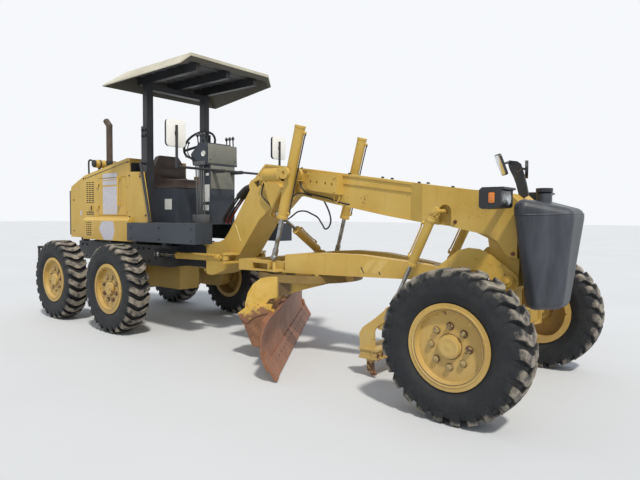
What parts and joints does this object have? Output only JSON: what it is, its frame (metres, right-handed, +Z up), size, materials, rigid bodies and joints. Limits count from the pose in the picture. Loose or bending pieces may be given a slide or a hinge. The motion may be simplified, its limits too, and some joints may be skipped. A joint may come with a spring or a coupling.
{
  "type": "motor grader",
  "caption": "Articulated grader with tandem rear wheels, open canopied operator station, gooseneck frame, turning circle with blade, and mid-mounted scarifier.",
  "frame": {"origin": "on the floor in the machine's middle plane, near the middle of its length", "axes": "+X forward, +Y to the driver's left, +Z up"},
  "size_m": [7.1677, 2.6173, 3.153],
  "materials": {
    "yellow_paint": "worn mustard yellow enamel over steel",
    "slate_paint": "dark slate enamel over steel",
    "black_paint": "satin black enamel over steel",
    "tyre_rubber": "dusty black rubber",
    "chrome_rod": "hard chromed cylinder rod",
    "tank_plastic": "faded moulded polyethylene",
    "worn_steel": "rust filmed blade steel",
    "roof_plastic": "weathered glass fibre",
    "seat_vinyl": "dark brown vinyl",
    "cast_grey": "grey painted casting"
  },
  "bodies": {
    "rear": {"rear_frame": "slate_paint", "hood_shell": "yellow_paint", "engine_block": "cast_grey", "rear_grille": "black_paint", "exhaust_stack": "black_paint", "platform": "slate_paint", "seat": "seat_vinyl", "console": "slate_paint", "canopy_posts": "black_paint", "canopy_roof": "roof_plastic", "handrails": "black_paint", "cab_mirrors": "black_paint", "rear_axle": "yellow_paint", "tandem_case_right": "yellow_paint", "tandem_case_left": "yellow_paint"},
    "front": {"front_frame": "yellow_paint", "cylinder_bank": "yellow_paint", "front_tank": "tank_plastic", "head_lamps": "black_paint", "front_mirrors": "black_paint", "front_axle": "yellow_paint"},
    "wheel_rear_right_front": {"tyre_rear_right_front": "tyre_rubber", "rim_rear_right_front": "yellow_paint"},
    "wheel_rear_right_back": {"tyre_rear_right_back": "tyre_rubber", "rim_rear_right_back": "yellow_paint"},
    "wheel_front_right": {"tyre_front_right": "tyre_rubber", "rim_front_right": "yellow_paint"},
    "wheel_rear_left_front": {"tyre_rear_left_front": "tyre_rubber", "rim_rear_left_front": "yellow_paint"},
    "wheel_rear_left_back": {"tyre_rear_left_back": "tyre_rubber", "rim_rear_left_back": "yellow_paint"},
    "wheel_front_left": {"tyre_front_left": "tyre_rubber", "rim_front_left": "yellow_paint"},
    "door_right": {"door_right": "yellow_paint"},
    "door_left": {"door_left": "yellow_paint"},
    "steering_wheel": {"steering_wheel": "black_paint"},
    "knuckle_right": {"knuckle_right": "yellow_paint"},
    "knuckle_left": {"knuckle_left": "yellow_paint"},
    "tie_rod": {"tie_rod": "chrome_rod"},
    "drawbar_ball": {"drawbar_ball": "cast_grey"},
    "drawbar": {"drawbar": "yellow_paint"},
    "circle": {"circle": "yellow_paint", "circle_gear": "cast_grey"},
    "blade": {"blade": "worn_steel", "cutting_edge": "worn_steel"},
    "lift_fork_right": {"lift_fork_right": "yellow_paint"},
    "lift_fork_left": {"lift_fork_left": "yellow_paint"},
    "lift_barrel_right": {"lift_barrel_right": "yellow_paint"},
    "lift_barrel_left": {"lift_barrel_left": "yellow_paint"},
    "lift_rod_right": {"lift_rod_right": "chrome_rod"},
    "lift_rod_left": {"lift_rod_left": "chrome_rod"},
    "shift_barrel": {"shift_barrel": "yellow_paint"},
    "shift_rod": {"shift_rod": "chrome_rod"},
    "hitch_barrel_right": {"hitch_barrel_right": "yellow_paint"},
    "hitch_barrel_left": {"hitch_barrel_left": "yellow_paint"},
    "hitch_rod_right": {"hitch_rod_right": "chrome_rod"},
    "hitch_rod_left": {"hitch_rod_left": "chrome_rod"},
    "scarifier": {"scarifier": "yellow_paint"},
    "scarifier_barrels": {"scarifier_barrels": "yellow_paint"},
    "scarifier_rods": {"scarifier_rods": "chrome_rod"}
  },
  "joints": [
    {"name": "articulation", "type": "hinge", "parent": "rear", "child": "front", "pos_m": [-0.64, 0, 0.87], "axis": [0, 0, 1], "range_deg": [-25, 25]},
    {"name": "roll_rear_right_front", "type": "hinge", "parent": "rear", "child": "wheel_rear_right_front", "pos_m": [-1.262, -0.911, 0.52], "axis": [0, 1, 0], "continuous": true},
    {"name": "roll_rear_right_back", "type": "hinge", "parent": "rear", "child": "wheel_rear_right_back", "pos_m": [-2.654, -0.911, 0.52], "axis": [0, 1, 0], "continuous": true},
    {"name": "roll_rear_left_front", "type": "hinge", "parent": "rear", "child": "wheel_rear_left_front", "pos_m": [-1.262, 0.911, 0.52], "axis": [0, 1, 0], "continuous": true},
    {"name": "roll_rear_left_back", "type": "hinge", "parent": "rear", "child": "wheel_rear_left_back", "pos_m": [-2.654, 0.911, 0.52], "axis": [0, 1, 0], "continuous": true},
    {"name": "steer_left", "type": "hinge", "parent": "front", "child": "knuckle_left", "pos_m": [3.03, 0.65, 0.52], "axis": [0, 0, 1], "range_deg": [-38, 38]},
    {"name": "steer_right", "type": "hinge", "parent": "front", "child": "knuckle_right", "pos_m": [3.03, -0.65, 0.52], "axis": [0, 0, 1], "range_deg": [-38, 38]},
    {"name": "tie_rod_slide", "type": "slide", "parent": "front", "child": "tie_rod", "axis": [0, 1, 0], "range_m": [-0.1127, 0.1127]},
    {"name": "roll_front_right", "type": "hinge", "parent": "knuckle_right", "child": "wheel_front_right", "pos_m": [3.03, -0.911, 0.52], "axis": [0, 1, 0], "continuous": true},
    {"name": "roll_front_left", "type": "hinge", "parent": "knuckle_left", "child": "wheel_front_left", "pos_m": [3.03, 0.911, 0.52], "axis": [0, 1, 0], "continuous": true},
    {"name": "steering_wheel_turn", "type": "hinge", "parent": "rear", "child": "steering_wheel", "pos_m": [-0.835, 0, 2.231], "axis": [-0.7206, 0, 0.6934], "range_deg": [-456, 456]},
    {"name": "drawbar_swing", "type": "hinge", "parent": "front", "child": "drawbar_ball", "pos_m": [2.7, 0, 0.88], "axis": [0, 0, 1], "range_deg": [-5, 5]},
    {"name": "drawbar_lift", "type": "hinge", "parent": "drawbar_ball", "child": "drawbar", "pos_m": [2.7, 0, 0.88], "axis": [0, 1, 0], "range_deg": [-12, 10]},
    {"name": "circle_turn", "type": "hinge", "parent": "drawbar", "child": "circle", "pos_m": [0.975, 0, 0.776], "axis": [0, 0, -1], "range_deg": [-20, 90]},
    {"name": "blade_slide", "type": "slide", "parent": "circle", "child": "blade", "axis": [-0.5764, 0.8171, 0], "range_m": [-0.6, 0.05]},
    {"name": "scarifier_lift", "type": "hinge", "parent": "front", "child": "scarifier", "pos_m": [3.124, 0, 0.892], "axis": [0, 1, 0], "range_deg": [-10, 14]},
    {"name": "scarifier_barrel_tilt", "type": "hinge", "parent": "front", "child": "scarifier_barrels", "pos_m": [2.581, 0, 1.425], "axis": [0, 1, 0], "range_deg": [-7.42, 10.39]},
    {"name": "scarifier_rod_slide", "type": "slide", "parent": "scarifier_barrels", "child": "scarifier_rods", "axis": [-0.422, 0, -0.9066], "range_m": [-0.1772, 0.1265]},
    {"name": "hitch_barrel_turn_right", "type": "hinge", "parent": "front", "child": "hitch_barrel_right", "pos_m": [-0.04, -0.29, 0.905], "axis": [0, 0, 1], "range_deg": [-12.4, 12.4]},
    {"name": "hitch_rod_slide_right", "type": "slide", "parent": "hitch_barrel_right", "child": "hitch_rod_right", "axis": [-0.9907, -0.1363, 0], "range_m": [-0.161, 0.161]},
    {"name": "lift_fork_swing_right", "type": "hinge", "parent": "front", "child": "lift_fork_right", "pos_m": [1.146, -0.5, 1.781], "axis": [1, 0, 0], "range_deg": [-9.85, 9.85]},
    {"name": "lift_barrel_tilt_right", "type": "hinge", "parent": "lift_fork_right", "child": "lift_barrel_right", "pos_m": [1.146, -0.5, 1.781], "axis": [0, 1, 0], "range_deg": [-5.5, 4.58]},
    {"name": "lift_rod_slide_right", "type": "slide", "parent": "lift_barrel_right", "child": "lift_rod_right", "axis": [-0.2594, 0, -0.9658], "range_m": [-0.3007, 0.3609]},
    {"name": "hitch_barrel_turn_left", "type": "hinge", "parent": "front", "child": "hitch_barrel_left", "pos_m": [-0.04, 0.29, 0.905], "axis": [0, 0, 1], "range_deg": [-12.4, 12.4]},
    {"name": "hitch_rod_slide_left", "type": "slide", "parent": "hitch_barrel_left", "child": "hitch_rod_left", "axis": [-0.9907, 0.1363, 0], "range_m": [-0.161, 0.161]},
    {"name": "lift_fork_swing_left", "type": "hinge", "parent": "front", "child": "lift_fork_left", "pos_m": [1.146, 0.5, 1.781], "axis": [1, 0, 0], "range_deg": [-9.85, 9.85]},
    {"name": "lift_barrel_tilt_left", "type": "hinge", "parent": "lift_fork_left", "child": "lift_barrel_left", "pos_m": [1.146, 0.5, 1.781], "axis": [0, 1, 0], "range_deg": [-5.5, 4.58]},
    {"name": "lift_rod_slide_left", "type": "slide", "parent": "lift_barrel_left", "child": "lift_rod_left", "axis": [-0.2594, 0, -0.9658], "range_m": [-0.3007, 0.3609]},
    {"name": "shift_barrel_tilt", "type": "hinge", "parent": "drawbar", "child": "shift_barrel", "pos_m": [0.83, 0.33, 0.985], "axis": [0.95, -0.1661, -0.2643], "range_deg": [-25.66, 21.38]},
    {"name": "shift_rod_slide", "type": "slide", "parent": "shift_barrel", "child": "shift_rod", "axis": [0, -0.8466, 0.5323], "range_m": [-0.1381, 0.1381]},
    {"name": "door_right_hinge", "type": "hinge", "parent": "rear", "child": "door_right", "pos_m": [-2.54, -0.452, 1.63], "axis": [0, 0, -1], "range_deg": [0, 100]},
    {"name": "door_left_hinge", "type": "hinge", "parent": "rear", "child": "door_left", "pos_m": [-2.54, 0.452, 1.63], "axis": [0, 0, 1], "range_deg": [0, 100]}
  ],
  "couplings": [
    {"joint": "steer_right", "follows": "steer_left", "ratio": 1},
    {"joint": "tie_rod_slide", "follows": "steer_left", "m_per_rad": -0.17},
    {"joint": "steering_wheel_turn", "follows": "steer_left", "ratio": 12},
    {"joint": "scarifier_barrel_tilt", "follows": "scarifier_lift", "ratio": 0.742},
    {"joint": "scarifier_rod_slide", "follows": "scarifier_lift", "m_per_rad": -0.725},
    {"joint": "hitch_barrel_turn_right", "follows": "articulation", "ratio": -0.496},
    {"joint": "hitch_rod_slide_right", "follows": "articulation", "m_per_rad": 0.369},
    {"joint": "lift_fork_swing_right", "follows": "drawbar_swing", "ratio": -1.969},
    {"joint": "lift_barrel_tilt_right", "follows": "drawbar_lift", "ratio": 0.458},
    {"joint": "lift_rod_slide_right", "follows": "drawbar_lift", "m_per_rad": -1.723},
    {"joint": "hitch_barrel_turn_left", "follows": "articulation", "ratio": -0.496},
    {"joint": "hitch_rod_slide_left", "follows": "articulation", "m_per_rad": -0.369},
    {"joint": "lift_fork_swing_left", "follows": "drawbar_swing", "ratio": -1.969},
    {"joint": "lift_barrel_tilt_left", "follows": "drawbar_lift", "ratio": 0.458},
    {"joint": "lift_rod_slide_left", "follows": "drawbar_lift", "m_per_rad": -1.723},
    {"joint": "shift_barrel_tilt", "follows": "drawbar_lift", "ratio": 2.138},
    {"joint": "shift_rod_slide", "follows": "drawbar_swing", "m_per_rad": -1.583}
  ]
}
